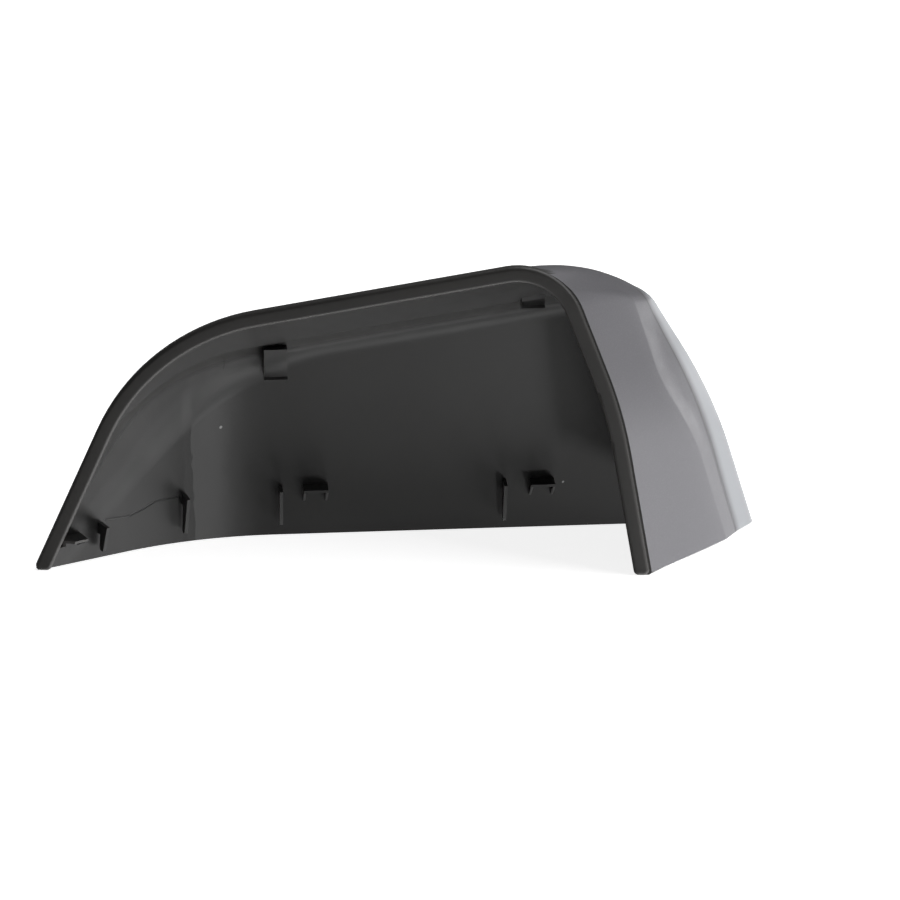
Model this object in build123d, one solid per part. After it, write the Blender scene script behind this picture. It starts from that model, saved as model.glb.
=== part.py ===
from build123d import *
from math import asin, cos, radians, sin, sqrt, tan
import os

# Wing mirror cover, moulded in one piece. Millimetres, +Z up.
# The cover stands on its lower edges. Its rear opening, framed by a thick rim, lies in the plane Y = 0,
# and the body reaches forward, towards +Y. X runs along the opening from the shallow end at the left
# to the deep, boxy end at the right, and is measured from the left end of the rim while the form is
# made. At the end the cover is moved so that its origin lies under the centre of its box.

# Opening: width, corners of its outline (X from the left end, IN from the right end) and their radii
RIM_WIDTH, FOOT_X = 225.5, -1.2
SHOULDER_X, SHOULDER_Z, SHOULDER_R = 41.0, 91.0, 80.0
PEAK_IN, PEAK_Z, PEAK_R = 33.7, 119.1, 24.0
KNEE_IN, KNEE_Z, KNEE_R = 11.2, 62.0, 160.0

# How far each corner of that outline moves for each millimetre of depth, and how its radius changes
SHOULDER_RUN, SHOULDER_FALL, SHOULDER_R_RATE = 0.30, 0.62, -0.20
PEAK_BEND, PEAK_R_RATE = 0.0085, -0.16
KNEE_FALL = 0.10
SIDE_FLARE = 0.70
EASE, EASE_START = 0.085, 36.0

# Front wall: where its two straight runs would meet in plan, their angles, the bend, lean and edge
FRONT_X, FRONT_Y, FRONT_R = 53.3, 43.5, 116.0
FRONT_LEFT_ANGLE, FRONT_RIGHT_ANGLE = 36.9, 7.1
FRONT_LEAN = 0.15
FRONT_EDGE_R, CAVITY_EDGE_R = 5.8, 4.2

# Side panel: it grows proud of the side and rolls off, past a soft ridge, to the crease. The corners
# are those of the outline that the roll-off would have in the plane of the opening
PANEL_PROUD, PANEL_FLARE = 0.1, 0.745
ROLL_OUT, ROLL_KNEE_IN, ROLL_KNEE_Z = 10.1, 0.5, 50.0
ROLL_TOP_IN, ROLL_TOP_Z = 22.3, 109.2
ROLL_START_IN, ROLL_START_Z = 42.2, 112.4
ROLL_INNER_IN, ROLL_INNER_Z = 93.2, 96.0
ROLL_FLARE, ROLL_FALL, ROLL_TOP_R = 0.50, 0.25, 12.0
RIDGE_R = 6.0
PANEL_STOP = 8.0

# Wall, rim and lower edges
WALL = 2.6
RIM_BAND, RIM_DEPTH, RIM_PROUD = 5.4, 4.0, 0.35
RIM_ROUND, RIM_END_R = 1.4, 1.9
EDGE_BEVEL = 1.0

# Hooks near the lower edge: place along the rim, top and length of each, and the form they share
HOOKS = ((20.4, 14.5, 10.6), (50.4, 20.2, 15.3), (86.9, 20.6, 15.0), (171.2, 20.5, 16.0))
HOOK_REACH, HOOK_TIP_REACH, HOOK_GAP = 6.3, 3.9, 1.4
HOOK_ROOT, HOOK_THICK, HOOK_TIP_R = 4.5, 1.3, 0.9

# Shelf brackets: place along the rim, height of each shelf and of its gussets, and the shared form
BRACKETS = ((9.8, 11.8, 4.8), (99.9, 20.9, 7.2), (185.3, 20.6, 7.2))
BRACKET_WIDTH, BRACKET_REACH = 9.3, 6.3
SHELF_THICK, GUSSET_THICK = 1.0, 0.9

# Snap seats under the top wall: place along the rim, lower end and height, and the shared form
SEATS = ((85.9, 66.3, 12.5), (181.0, 92.3, 16.0))
SEAT_WIDTH, SEAT_REACH, SEAT_WALL = 8.6, 6.5, 1.3
SEAT_LIP, SEAT_LIP_HEIGHT = 0.9, 1.6

# Depths at which sections are taken, where the bending of the top ends, how far forms run on before
# they are trimmed, and how far ribs sink into a wall
STATIONS = (-20, 0, 16, 32, 48, 80)
BEND_END = 48.0
BELOW, ABOVE = 25.0, 135.0
SINK = 1.4


def run_on(end, inner):
    """Carry an end line of an outline down to BELOW under the lower edges."""
    k = (BELOW + end[1]) / (inner[1] - end[1])
    return (end[0] - (inner[0] - end[0]) * k, -BELOW)


def section(y, corners, moves, radii, rates, grow=0.0):
    """Arch-shaped section at depth y, from corners that move and radii that change with depth."""
    curve = max(0, min(y, BEND_END)) ** 2
    reach = y - EASE * max(0, y - EASE_START)
    p = [(x + run * reach, z - fall * y - bend * curve) for (x, z), (run, fall, bend) in zip(corners, moves)]
    points = [run_on(p[0], p[1])] + p[1:-1] + [run_on(p[-1], p[-2])]
    rounded = [r + k * y for r, k in zip(radii, rates)]
    face = make_face(FilletPolyline(*points, radius=rounded) + Line(points[-1], points[0]))
    if grow:
        face = offset(face, amount=grow)
    return Plane(origin=(0, y, 0), x_dir=(1, 0, 0), z_dir=(0, -1, 0)) * face


def tub(corners, moves, radii, rates, grow=0.0):
    """Flared body through such sections, from behind the opening to the full depth."""
    return loft([section(y, corners, moves, radii, rates, grow).faces()[0] for y in STATIONS])


def body_form(flare, proud):
    """Corners of the opening, how they move with depth, and the radii that round them."""
    end = RIM_WIDTH + proud
    corners = ((FOOT_X, 0), (SHOULDER_X, SHOULDER_Z), (end - PEAK_IN, PEAK_Z), (end - KNEE_IN, KNEE_Z),
               (end, 0))
    moves = ((0, 0, 0), (SHOULDER_RUN, SHOULDER_FALL, 0), (flare, 0, PEAK_BEND), (flare, KNEE_FALL, 0),
             (flare, 0, 0))
    return corners, moves, (SHOULDER_R, PEAK_R, KNEE_R), (SHOULDER_R_RATE, PEAK_R_RATE, 0)


def roll_form():
    """The same for the roll-off between the ridge of the side panel and the crease."""
    inner = RIM_WIDTH - ROLL_INNER_IN
    corners = ((inner, 0), (inner, ROLL_INNER_Z), (RIM_WIDTH - ROLL_START_IN, ROLL_START_Z),
               (RIM_WIDTH - ROLL_TOP_IN, ROLL_TOP_Z), (RIM_WIDTH - ROLL_KNEE_IN, ROLL_KNEE_Z),
               (RIM_WIDTH + ROLL_OUT, 0))
    moves = ((0, 0, 0), (0, SHOULDER_FALL, 0), (ROLL_FLARE, ROLL_FALL, 0), (ROLL_FLARE, ROLL_FALL, 0),
             (ROLL_FLARE, KNEE_FALL, 0), (ROLL_FLARE, 0, 0))
    return corners, moves, (ROLL_TOP_R / 2, ROLL_TOP_R, ROLL_TOP_R, KNEE_R), (0, 0, 0, 0)


def front_block(inset=0.0):
    """Everything behind the leaning front surface, which moves back by inset."""
    y0 = FRONT_Y + FRONT_LEAN * BELOW
    left = (-120, y0 - (120 + FRONT_X) * tan(radians(FRONT_LEFT_ANGLE)))
    right = (320, y0 + (320 - FRONT_X) * tan(radians(FRONT_RIGHT_ANGLE)))
    back = left[1] - 40
    bend = FilletPolyline(left, (FRONT_X, y0), right, radius=(FRONT_R,))
    face = make_face(bend + Polyline(right, (right[0], back), (left[0], back), left))
    if inset:
        face = offset(face, amount=-inset)
    return extrude(Plane.XY.offset(-BELOW) * face, amount=ABOVE + BELOW, dir=(0, -FRONT_LEAN, 1))


def half_space(y, z):
    """Room above height z and in front of depth y."""
    return Pos(0, y, z) * Box(1000, 500, 500, align=(Align.CENTER, Align.MIN, Align.MIN))


def looks(face):
    """Outward direction at the middle of a face."""
    return face.normal_at(face.center())


def between(solid, one, other):
    """Edges of a solid that lie between its faces of one kind and those of another kind."""
    near = [e for f in solid.faces() if one(looks(f)) for e in f.edges()]
    far = [e for f in solid.faces() if other(looks(f)) for e in f.edges()]
    return [e for e in near if any(e.is_same(o) for o in far)]


def rounded_body(inset, edge_r):
    """Body of the cover with the edge round its front softened; inset gives the cavity."""
    grow = -inset * sqrt(1 + SIDE_FLARE ** 2)
    body = (tub(*body_form(SIDE_FLARE, 0), grow) & front_block(inset)).solids()[0]
    edges = between(body, lambda n: n.Y > 0.7, lambda n: n.Y < 0.7 and n.Z > -0.9)
    return fillet(edges, edge_r)


def side_panel():
    """Panel on the side of the cover, with the soft ridge between its face and its roll-off."""
    face = tub(*body_form(PANEL_FLARE, PANEL_PROUD))
    panel = (face & tub(*roll_form()) & front_block(PANEL_STOP)).solids()[0]
    limit = 1.1 * ROLL_FLARE
    ridge = between(panel, lambda n: n.X > 0.3 and -n.Y > limit * n.X, lambda n: n.X > 0.1 and -n.Y < limit * n.X)
    return fillet(ridge, RIDGE_R)


def trimmed(solid):
    """A form cut off in front of the rim and at the lower edges, with its lower edges bevelled."""
    cut = (solid & half_space(STATIONS[0], 0)).solids()[0]
    lower = between(cut, lambda n: n.Z < -0.9, lambda n: n.Y > -0.9 and n.Z > -0.9)
    return (chamfer(lower, EDGE_BEVEL) & half_space(RIM_ROUND, 0)).solids()[0]


def rim():
    """Thick ring round the opening, open below, with rounded ends and rounded front edges."""
    form = body_form(SIDE_FLARE, 0)
    ring = section(0, *form, RIM_PROUD) - section(0, *form, -RIM_BAND)
    bar = (extrude(ring, amount=RIM_DEPTH, dir=(0, 1, 0)) & half_space(0, 0)).solids()[0]
    ends = [e for e in bar.edges() if e.center().Z < 0.01 and abs(e.center().Y - RIM_DEPTH / 2) < 0.01]
    bar = fillet(ends, RIM_END_R)
    front = [e for f in bar.faces() if looks(f).Y < -0.9 for e in f.edges()]
    return fillet(front, RIM_ROUND)


def front_at(x):
    """Plan line of the outer front surface at the lower edges: its depth and direction at x."""
    left, right = radians(FRONT_LEFT_ANGLE), radians(FRONT_RIGHT_ANGLE)
    run = FRONT_R * tan((left - right) / 2)
    if x < FRONT_X - run * cos(left):
        return FRONT_Y + (x - FRONT_X) * tan(left), left
    if x > FRONT_X + run * cos(right):
        return FRONT_Y + (x - FRONT_X) * tan(right), right
    centre_x = FRONT_X - run * cos(left) + FRONT_R * sin(left)
    centre_y = FRONT_Y - run * sin(left) - FRONT_R * cos(left)
    angle = asin((centre_x - x) / FRONT_R)
    return centre_y + FRONT_R * cos(angle), angle


def on_wall(x, z):
    """Plane across the inner front wall: local x points out of the wall, local y up along it."""
    y, angle = front_at(x)
    along = (cos(angle), sin(angle), 0)
    out = (sin(angle), -cos(angle), -FRONT_LEAN * cos(angle))
    foot = (x + WALL * sin(angle), y - WALL * cos(angle) - FRONT_LEAN * z, z)
    return Plane(origin=foot, x_dir=out, z_dir=(-along[0], -along[1], 0))


def plate(points, thick, side=0.0):
    """Flat rib of an outline in such a plane, moved sideways along the wall."""
    return Pos(0, 0, side) * extrude(make_face(Polyline(*points, close=True)), amount=thick / 2, both=True)


def hook(x, top, length):
    """Thin finger that stands on the wall only at its root and hangs down clear of it."""
    points = ((-SINK, 0), (HOOK_REACH, 0), (HOOK_TIP_REACH, -length), (HOOK_GAP, -length),
              (HOOK_GAP, -HOOK_ROOT), (-SINK, -HOOK_ROOT))
    finger = plate(points, HOOK_THICK)
    tip = finger.edges().filter_by(Axis.Z).sort_by(Axis.Y)[:2]
    return on_wall(x, top) * fillet(tip, HOOK_TIP_R)


def bracket(x, top, drop):
    """Small shelf on two triangular gussets."""
    shelf = plate(((-SINK, -SHELF_THICK), (BRACKET_REACH, -SHELF_THICK), (BRACKET_REACH, 0), (-SINK, 0)),
                  BRACKET_WIDTH)
    gusset = ((-SINK, 0), (BRACKET_REACH, 0), (BRACKET_REACH, -SHELF_THICK), (0, -drop), (-SINK, -drop))
    aside = (BRACKET_WIDTH - GUSSET_THICK) / 2
    return on_wall(x, top) * (shelf + plate(gusset, GUSSET_THICK, aside) + plate(gusset, GUSSET_THICK, -aside))


def seat(x, foot, height):
    """Box-shaped snap seat, open below, with a lip along the lower end of its front plate."""
    inner = SEAT_REACH - SEAT_WALL
    block = plate(((-SINK, 0), (SEAT_REACH, 0), (SEAT_REACH, height), (-SINK, height)), SEAT_WIDTH)
    pocket = plate(((0, -1), (inner, -1), (inner, height - SEAT_WALL), (0, height - SEAT_WALL)),
                   SEAT_WIDTH - 2 * SEAT_WALL)
    lip = plate(((inner, 0), (SEAT_REACH + SEAT_LIP, 0), (SEAT_REACH + SEAT_LIP, SEAT_LIP_HEIGHT / 2),
                 (SEAT_REACH, SEAT_LIP_HEIGHT), (inner, SEAT_LIP_HEIGHT)), SEAT_WIDTH)
    return on_wall(x, foot) * (block + lip - pocket)


def mirror_cover():
    """The whole cover as one solid, moved so that its origin lies under the centre of its box."""
    outer = trimmed(rounded_body(0, FRONT_EDGE_R)) + trimmed(side_panel())
    cover = outer - rounded_body(WALL, CAVITY_EDGE_R) + rim()
    ribs = [hook(*place) for place in HOOKS] + [bracket(*place) for place in BRACKETS]
    cover += [rib & half_space(RIM_ROUND, 0) for rib in ribs]
    cover += [seat(*place) & outer for place in SEATS]
    box = cover.bounding_box()
    return Pos(-box.center().X, -box.center().Y, -box.min.Z) * cover.solids()[0]


os.makedirs("parts", exist_ok=True)
export_step(mirror_cover(), "parts/mirror_cover.step")
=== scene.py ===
import bpy
from math import cos, hypot, radians, sin
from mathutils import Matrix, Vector


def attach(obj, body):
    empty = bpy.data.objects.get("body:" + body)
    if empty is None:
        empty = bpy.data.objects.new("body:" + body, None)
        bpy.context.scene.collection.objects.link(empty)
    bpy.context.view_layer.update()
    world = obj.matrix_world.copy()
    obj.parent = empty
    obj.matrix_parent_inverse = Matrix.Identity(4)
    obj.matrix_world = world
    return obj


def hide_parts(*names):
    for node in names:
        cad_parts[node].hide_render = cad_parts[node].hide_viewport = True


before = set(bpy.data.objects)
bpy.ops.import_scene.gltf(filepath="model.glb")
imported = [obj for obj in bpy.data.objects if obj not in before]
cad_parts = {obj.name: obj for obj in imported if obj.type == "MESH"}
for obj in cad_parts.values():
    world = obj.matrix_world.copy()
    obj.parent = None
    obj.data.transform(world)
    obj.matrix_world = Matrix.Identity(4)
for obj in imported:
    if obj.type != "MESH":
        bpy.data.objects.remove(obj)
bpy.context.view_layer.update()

# A wing mirror cover, painted outside and bare moulding inside, seen from behind. Metres, +Z up.
# The rear opening lies in the plane of the lowest Y, and the deep, boxy end is at the highest X.


def grey(value, warm=0.0):
    """A linear grey, turned a little to red for warm above 0 and to blue below."""
    return (value * (1 + warm), value, value * (1 - warm), 1)


MM = 0.001
LEFT, REAR = -133.086 * MM, -34.582 * MM   # left end of the rim and plane of the opening
WHITE = (1, 1, 1, 1)

# Parts of the mesh that take their own finish
MOULDING, RIM, PAINT, EDGE = range(4)
WELD = 2e-6                              # corners of the mesh nearer than this are one
SOFT_ANGLE = radians(30)                 # sharper edges than this stay sharp
SEED_PULL = 10                           # how much lying far forward counts beside facing forward
RIM_ROUND, RIM_DEPTH = 1.45 * MM, 4.2 * MM
RIM_FLARE = 0.2                          # outer skin near the rim that faces forward less than this is rim
BEVEL_TOP = 1.1 * MM
BEVEL_STEEP, BEVEL_FLAT = -0.85, -0.4    # how far down the bevel of the lower edges faces

# Marks on the inner wall, along the rim and up, in millimetres, and their widths
FLOW_LINE = ((23.9, 14.9), (32.2, 14.5), (36.6, 16.0), (41.2, 18.4), (49.1, 18.9))
HAIRLINE = ((67.4, 69.2), (67.9, 72.0), (67.7, 75.0))
SPECK_A = ((65.7, 45.5), (65.9, 45.8))
SPECK_B = ((193.8, 18.4), (194.0, 18.6))
FLOW_WIDTH, HAIR_WIDTH = 0.45 * MM, 0.3 * MM
SPECK_A_WIDTH, SPECK_B_WIDTH = 0.6 * MM, 0.45 * MM
MARK_CORE = 0.4                          # share of the width at full strength
CUT_SHARE, SPECK_SHARE = 0.8, 0.7

# Fold between the inner front and top walls: where its line bends, its rise, and how far it reaches down
FOLD_X, FOLD_Z, FOLD_RISE, FOLD_BEND = -60 * MM, 74 * MM, 0.155, 9.5
FOLD_WIDE, FOLD_WIDE_X = 30 * MM, -110 * MM
FOLD_NARROW, FOLD_NARROW_X = 7 * MM, -25 * MM
FOLD_PAST, FOLD_TILT = 4 * MM, 0.64

# Crease of the side: its distance from the opening at height z is START + SLOPE * z + BEND * z * z
CREASE_START, CREASE_SLOPE, CREASE_BEND = 50.5 * MM, -0.16, 0.33
# width and strength of the painted shade along the crease
CREASE_SHADE_WIDTH, CREASE_SHADE_SHARE = 1.4 * MM, 0.45

# Where the side begins, and the band in front of its crease: its reach, the fade of its painted highlight,
# and its turn
SIDE_START, SIDE_FULL = LEFT + 180 * MM, LEFT + 200 * MM
BAND_REACH, BAND_HIGHLIGHT_FADE = 24 * MM, 4 * MM
BAND_TILT, BAND_BEND = 0.34, 16.0

# Colours of the finishes
INNER_DARK, INNER_LIGHT = grey(0.016), grey(0.023, 0.02)
CUT_DARK, SPECK_LIGHT = grey(0.006), grey(0.35)
RIM_DARK, RIM_LIGHT = grey(0.022, 0.04), grey(0.033, 0.06)
PAINT_DARK, PAINT_LIGHT = (0.150, 0.148, 0.160, 1), (0.170, 0.167, 0.180, 1)
# the band colour is a painted highlight where the body turns in front of the crease
PAINTED_BAND_HIGHLIGHT, PAINT_FLAKE = (0.345, 0.357, 0.378, 1), (0.5, 0.5, 0.52, 1)
# colour of the painted shade along the crease
PAINTED_CREASE_SHADE = grey(0.06)
# the pale greys of the lower edge are a painted highlight
EDGE_HIGHLIGHT_DARK, EDGE_HIGHLIGHT_LIGHT = grey(0.40), grey(0.52)

# Roughness of the finishes: the middle, and how far it wanders
INNER_ROUGH, RIM_ROUGH = (0.29, 0.06), (0.46, 0.12)
PAINT_ROUGH, EDGE_ROUGH = (0.34, 0.06), (0.38, 0.06)

# Clouds and grain in the finishes: scale and detail
INNER_CLOUD, INNER_GRAIN = (14, 3), (1400, 2)
RIM_CLOUD, RIM_GRAIN = (30, 3), (1700, 2)
PAINT_CLOUD, PAINT_GLINT, PAINT_PEEL = (9, 2), (5200, 1), (420, 2)
EDGE_CLOUD = (40, 3)
GLINT_START, GLINT_FULL, GLINT_SHARE = 0.55, 0.8, 0.25

# Relief of the finishes: strength, and depth in metres; a height in metres keeps its own
OWN_HEIGHT = (1.0, 1.0)
INNER_RELIEF, RIM_RELIEF, PEEL_RELIEF = (0.12, 0.00003), (0.2, 0.00004), (0.06, 0.0002)
CUT_RELIEF = (0.6, 0.0003)

# Camera
ELEVATION, AZIMUTH, DISTANCE = radians(17), radians(1.468), 1.3
TARGET = Vector((LEFT + 152.3 * MM, REAR, 47.81 * MM))
LENS, SENSOR = 143.0, 36

# Soft lamps: place, size and power. The low ones shine up through the floor.
LAMPS = (("low_front", (0.50, -0.70, -0.50), (0.13, 0.13), 1.1),
         ("low_right", (0.76, 0.04, -0.66), (0.60, 0.50), 15.0),
         ("below", (0.16, -0.10, -0.85), (0.45, 0.20), 5.0),
         ("back_right", (0.95, 1.15, -0.26), (1.10, 0.60), 15.0),
         ("right", (1.20, -0.35, 0.85), (0.80, 0.80), 9.0),
         ("above", (0.60, 0.40, 1.40), (1.20, 1.00), 12.0))
LAMP_AIM = Vector((0, 0, 0.05))
AMBIENT = 0.10                           # light that comes from everywhere
FLOOR_SIZE, FLOOR_COLOUR, FLOOR_GLOW = 9, (0.8, 0.8, 0.8, 1), 0.84


class Wire:
    """One socket of a node tree; sums on wires add the nodes that work them out."""

    def __init__(self, tree, socket):
        self.tree, self.socket = tree, socket

    def math(self, operation, *others):
        node = self.tree.nodes.new("ShaderNodeMath")
        node.operation = operation
        for place, value in enumerate((self, *others)):
            feed(self.tree, value, node.inputs[place])
        return Wire(self.tree, node.outputs[0])

    def __add__(self, other):
        return self.math("ADD", other)

    def __radd__(self, other):
        return self.math("ADD", other)

    def __sub__(self, other):
        return self.math("SUBTRACT", other)

    def __rsub__(self, other):
        return (self * -1).math("ADD", other)

    def __mul__(self, other):
        return self.math("MULTIPLY", other)

    def __rmul__(self, other):
        return self.math("MULTIPLY", other)

    def __truediv__(self, other):
        return self.math("DIVIDE", other)

    def __pow__(self, other):
        return self.math("POWER", other)

    def size(self):
        return self.math("ABSOLUTE")

    def at_least(self, other):
        return self.math("MAXIMUM", other)

    def at_most(self, other):
        return self.math("MINIMUM", other)

    def ramp(self, low, high):
        """0 below low, 1 above high, and a smooth rise between them."""
        node = self.tree.nodes.new("ShaderNodeMapRange")
        node.interpolation_type = "SMOOTHSTEP"
        for name, value in (("Value", self), ("From Min", low), ("From Max", high)):
            feed(self.tree, value, node.inputs[name])
        return Wire(self.tree, node.outputs[0])

    def peak(self, width):
        """1 where the value is 0, falling smoothly to 0 at that distance on either side."""
        return 1 - self.size().ramp(0, width)


def feed(tree, value, socket):
    """Join a wire to a socket, or set the socket's own value."""
    if isinstance(value, Wire):
        tree.links.new(value.socket, socket)
    else:
        socket.default_value = value


class Finish:
    """A material whose nodes are added one by one."""

    def __init__(self, name):
        self.material = bpy.data.materials.new(name)
        self.material.use_nodes = True
        self.tree = self.material.node_tree
        self.tree.nodes.clear()
        self.place = self.node("ShaderNodeTexCoord", output="Object")
        split = self.node("ShaderNodeSeparateXYZ", output=None, Vector=self.place)
        self.x, self.y, self.z = (Wire(self.tree, s) for s in split.outputs)

    def node(self, kind, output=0, settings=None, **inputs):
        """A node with its settings and what goes into it; gives one output, or the node for None."""
        node = self.tree.nodes.new(kind)
        for name, value in (settings or {}).items():
            setattr(node, name, value)
        for name, value in inputs.items():
            feed(self.tree, value, node.inputs[name.replace("_", " ")])
        return node if output is None else Wire(self.tree, node.outputs[output])

    def noise(self, scale, detail):
        return self.node("ShaderNodeTexNoise", Vector=self.place, Scale=scale, Detail=detail, Roughness=0.5)

    def mix(self, share, one, other):
        """Colour that goes from one to the other as share goes from 0 to 1."""
        node = self.node("ShaderNodeMix", output=None, settings={"data_type": "RGBA"})
        share_in, one_in, other_in = (node.inputs[i] for i in (0, 6, 7))
        feed(self.tree, share, share_in)
        feed(self.tree, one, one_in)
        feed(self.tree, other, other_in)
        return Wire(self.tree, node.outputs[2])

    def bump(self, height, strength, distance, normal=None):
        node = self.node("ShaderNodeBump", output=None, Height=height, Strength=strength, Distance=distance)
        if normal:
            feed(self.tree, normal, node.inputs["Normal"])
        return Wire(self.tree, node.outputs[0])

    def surface(self, **inputs):
        shader = self.node("ShaderNodeBsdfPrincipled", **inputs)
        self.node("ShaderNodeOutputMaterial", output=None, Surface=shader)
        return self.material


def wander(cloud, middle, reach):
    """A roughness that strays from its middle with the cloud."""
    return middle + reach * (cloud - 0.5)


def line_mark(f, points, width):
    """Mask of a thin mark that runs through points, seen square on from behind."""
    mark = None
    places = [(LEFT + x * MM, z * MM) for x, z in points]
    for (x0, z0), (x1, z1) in zip(places, places[1:]):
        run, rise = x1 - x0, z1 - z0
        length = hypot(run, rise)
        dx, dz = f.x - x0, f.z - z0
        along = (dx * (run / length) + dz * (rise / length)).at_least(0).at_most(length)
        away_x, away_z = dx - along * (run / length), dz - along * (rise / length)
        piece = 1 - (away_x * away_x + away_z * away_z).math("SQRT").ramp(width * MARK_CORE, width)
        mark = piece if mark is None else mark.at_least(piece)
    return mark


def fold_turn(f):
    """Height by which the front wall bends gently into the top wall, wider towards the shallow end."""
    past = f.x - FOLD_X
    line = FOLD_Z + FOLD_RISE * past - FOLD_BEND * past.at_most(0) ** 2
    width = FOLD_WIDE - (FOLD_WIDE - FOLD_NARROW) * f.x.ramp(FOLD_WIDE_X, FOLD_NARROW_X)
    reach = (width - line + f.z).at_least(0).at_most(width + FOLD_PAST)
    return FOLD_TILT * 0.5 * reach * reach / width


def inner_finish():
    """Bare dark moulding: semi-gloss, with a flow line, a hairline and two pale specks."""
    f = Finish("dark_moulding")
    cloud = f.noise(*INNER_CLOUD)
    grain = f.noise(*INNER_GRAIN)
    cut = line_mark(f, FLOW_LINE, FLOW_WIDTH).at_least(line_mark(f, HAIRLINE, HAIR_WIDTH))
    speck = line_mark(f, SPECK_A, SPECK_A_WIDTH).at_least(line_mark(f, SPECK_B, SPECK_B_WIDTH))
    base = f.mix(cloud, INNER_DARK, INNER_LIGHT)
    base = f.mix(cut * CUT_SHARE, base, CUT_DARK)
    base = f.mix(speck * SPECK_SHARE, base, SPECK_LIGHT)
    relief = f.bump(cut * -1, *CUT_RELIEF, f.bump(grain, *INNER_RELIEF))
    return f.surface(Base_Color=base, Roughness=wander(cloud, *INNER_ROUGH),
                     Normal=f.bump(fold_turn(f), *OWN_HEIGHT, relief))


def rim_finish():
    """The same moulding on the rim, a little browner and duller."""
    f = Finish("rim_moulding")
    cloud = f.noise(*RIM_CLOUD)
    grain = f.noise(*RIM_GRAIN)
    base = f.mix(cloud, RIM_DARK, RIM_LIGHT)
    return f.surface(Base_Color=base, Roughness=wander(cloud, *RIM_ROUGH),
                     Normal=f.bump(grain, *RIM_RELIEF))


def crease_distance(f):
    """How far a place lies in front of the crease between the side panel and the body."""
    crease = CREASE_START + CREASE_SLOPE * f.z + CREASE_BEND * f.z * f.z
    return f.y - REAR - crease


def paint_finish():
    """Satin grey metallic paint; the band in front of the crease turns softly by a bump and carries a
    painted highlight, and the crease carries a line of painted shade.
    """
    f = Finish("grey_paint")
    side = f.x.ramp(SIDE_START, SIDE_FULL)
    ahead = crease_distance(f)
    band = ahead.at_least(0).at_most(BAND_REACH)
    turn = -1 * side * (band * BAND_TILT + band * band * BAND_BEND)
    cloud = f.noise(*PAINT_CLOUD)
    glint = f.noise(*PAINT_GLINT).ramp(GLINT_START, GLINT_FULL)
    peel = f.noise(*PAINT_PEEL)
    # mask of the painted shade along the crease
    line = ahead.peak(CREASE_SHADE_WIDTH) * side
    base = f.mix(cloud, PAINT_DARK, PAINT_LIGHT)
    base = f.mix(glint * GLINT_SHARE, base, PAINT_FLAKE)
    # painted highlight on the band in front of the crease
    base = f.mix(side * ahead.ramp(0, BAND_HIGHLIGHT_FADE), base, PAINTED_BAND_HIGHLIGHT)
    # painted shade darkens the crease line
    base = f.mix(line * CREASE_SHADE_SHARE, base, PAINTED_CREASE_SHADE)
    return f.surface(Base_Color=base, Roughness=wander(cloud, *PAINT_ROUGH), Metallic=0.35,
                     Normal=f.bump(turn, *OWN_HEIGHT, f.bump(peel, *PEEL_RELIEF)),
                     Coat_Weight=0.3, Coat_Roughness=0.22)


def edge_highlight_finish():
    """Paint on the bevel of the lower edge, made pale by a painted highlight where the rounded edge catches
    light.
    """
    f = Finish("paint_edge_highlight")
    cloud = f.noise(*EDGE_CLOUD)
    # pale colour here is a painted highlight on the rounded lower edge
    base = f.mix(cloud, EDGE_HIGHLIGHT_DARK, EDGE_HIGHLIGHT_LIGHT)
    return f.surface(Base_Color=base, Roughness=wander(cloud, *EDGE_ROUGH), Metallic=0.2)


def shell_copy():
    """The cover as one closed, merged mesh, shaded smooth except at its real edges."""
    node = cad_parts["mirror_cover"]
    bpy.ops.object.select_all(action="DESELECT")
    node.select_set(True)
    bpy.context.view_layer.objects.active = node
    bpy.ops.object.duplicate()
    shell = bpy.context.object
    shell.name = "cover_shell"
    bpy.ops.mesh.customdata_custom_splitnormals_clear()
    bpy.ops.object.mode_set(mode="EDIT")
    bpy.ops.mesh.select_all(action="SELECT")
    bpy.ops.mesh.remove_doubles(threshold=WELD)
    bpy.ops.object.mode_set(mode="OBJECT")
    bpy.ops.object.shade_smooth_by_angle(angle=SOFT_ANGLE)
    return shell


def spread(shell, seed):
    """List the faces that a soft surface joins to the one for which seed is greatest."""
    mesh = shell.data
    bpy.ops.object.mode_set(mode="EDIT")
    bpy.ops.mesh.select_mode(type="FACE")
    bpy.ops.mesh.select_all(action="DESELECT")
    bpy.ops.object.mode_set(mode="OBJECT")
    max(mesh.polygons, key=seed).select = True
    bpy.ops.object.mode_set(mode="EDIT")
    bpy.ops.mesh.faces_select_linked_flat(sharpness=SOFT_ANGLE)
    bpy.ops.object.mode_set(mode="OBJECT")
    return [p.index for p in mesh.polygons if p.select]


def dress(shell):
    """Give each face its finish: moulding inside, rim, paint outside, and its edge below."""
    mesh = shell.data
    mesh.materials.clear()
    for material in (inner_finish(), rim_finish(), paint_finish(), edge_highlight_finish()):
        mesh.materials.append(material)
    skin = set(spread(shell, lambda p: p.normal.y + p.center.y * SEED_PULL))
    for face in mesh.polygons:
        depth = face.center.y - REAR
        painted = face.index in skin
        flared = not painted or abs(face.normal.y) < RIM_FLARE
        if depth < RIM_ROUND or depth < RIM_DEPTH and flared:
            face.material_index = RIM
        elif painted:
            face.material_index = PAINT
        elif face.center.z < BEVEL_TOP and BEVEL_STEEP < face.normal.z < BEVEL_FLAT:
            face.material_index = EDGE
        else:
            face.material_index = MOULDING


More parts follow.
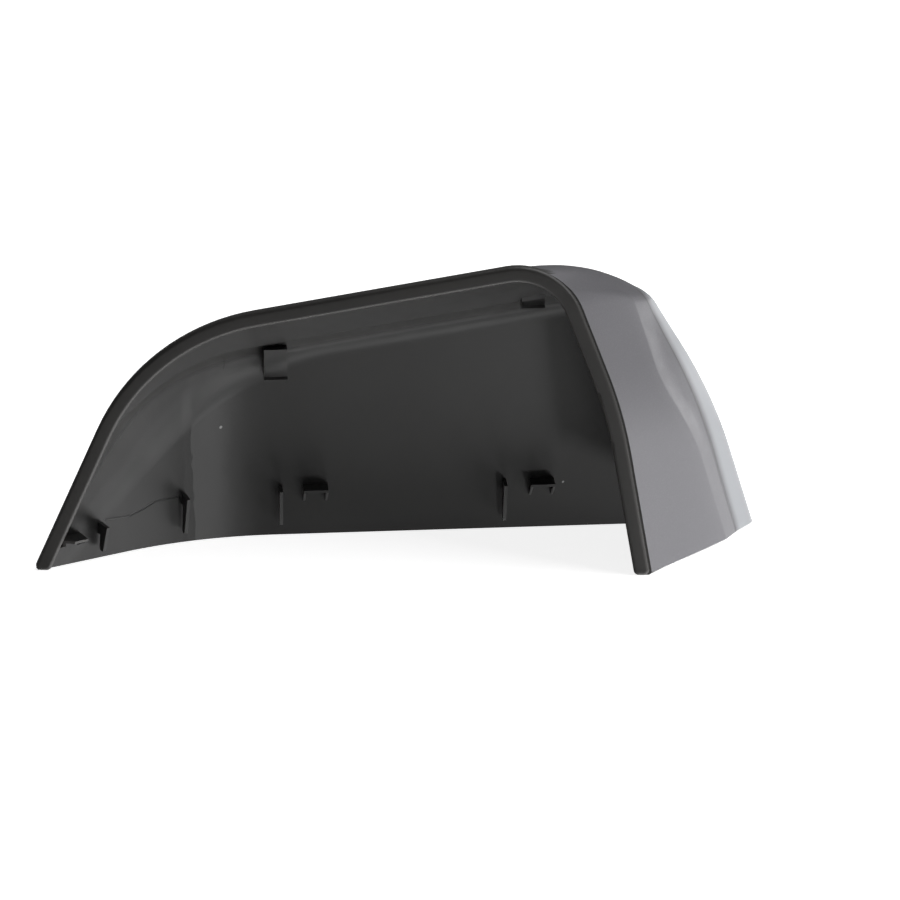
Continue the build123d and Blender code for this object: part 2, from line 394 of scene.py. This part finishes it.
def camera():
    look = Vector((-sin(AZIMUTH) * cos(ELEVATION), cos(AZIMUTH) * cos(ELEVATION), -sin(ELEVATION)))
    data = bpy.data.cameras.new("camera")
    data.lens, data.sensor_width = LENS, SENSOR
    seen = bpy.data.objects.new("camera", data)
    bpy.context.scene.collection.objects.link(seen)
    seen.location = TARGET - look * DISTANCE
    seen.rotation_euler = look.to_track_quat("-Z", "Y").to_euler()
    bpy.context.scene.camera = seen


def softbox(name, place, size, power):
    data = bpy.data.lights.new(name, "AREA")
    data.shape, data.size, data.size_y, data.energy = "RECTANGLE", *size, power
    lamp = bpy.data.objects.new(name, data)
    bpy.context.scene.collection.objects.link(lamp)
    lamp.location = place
    lamp.rotation_euler = (LAMP_AIM - Vector(place)).to_track_quat("-Z", "Y").to_euler()


def floor_finish():
    """Pale floor that glows for the camera and still takes shadows."""
    f = Finish("pale_floor")
    path = f.node("ShaderNodeLightPath", output=None)
    seen = Wire(f.tree, path.outputs["Is Camera Ray"]) + Wire(f.tree, path.outputs["Is Transmission Ray"])
    shader = f.node("ShaderNodeBsdfDiffuse", Color=FLOOR_COLOUR)
    light = f.node("ShaderNodeEmission", Color=WHITE, Strength=seen.at_most(1) * FLOOR_GLOW)
    both = f.node("ShaderNodeAddShader", output=None)
    feed(f.tree, shader, both.inputs[0])
    feed(f.tree, light, both.inputs[1])
    f.node("ShaderNodeOutputMaterial", output=None, Surface=Wire(f.tree, both.outputs[0]))
    return f.material


def studio():
    """Pale floor, soft light from low on the right, from behind and from above."""
    bpy.ops.mesh.primitive_plane_add(size=FLOOR_SIZE, location=(0, 0, 0))
    floor = bpy.context.object
    floor.name = "floor"
    floor.data.materials.append(floor_finish())
    floor.visible_shadow = False
    for lamp in LAMPS:
        softbox(*lamp)
    world = bpy.data.worlds.new("world")
    bpy.context.scene.world = world
    world.use_nodes = True
    tree = world.node_tree
    back = tree.nodes["Background"]
    back.inputs["Color"].default_value = WHITE
    path = tree.nodes.new("ShaderNodeLightPath")
    seen = Wire(tree, path.outputs["Is Camera Ray"])
    feed(tree, seen * (1 - AMBIENT) + AMBIENT, back.inputs["Strength"])


shell = shell_copy()
dress(shell)
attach(shell, "root")
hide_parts("mirror_cover")
camera()
studio()
bpy.context.scene.view_settings.view_transform = "Standard"
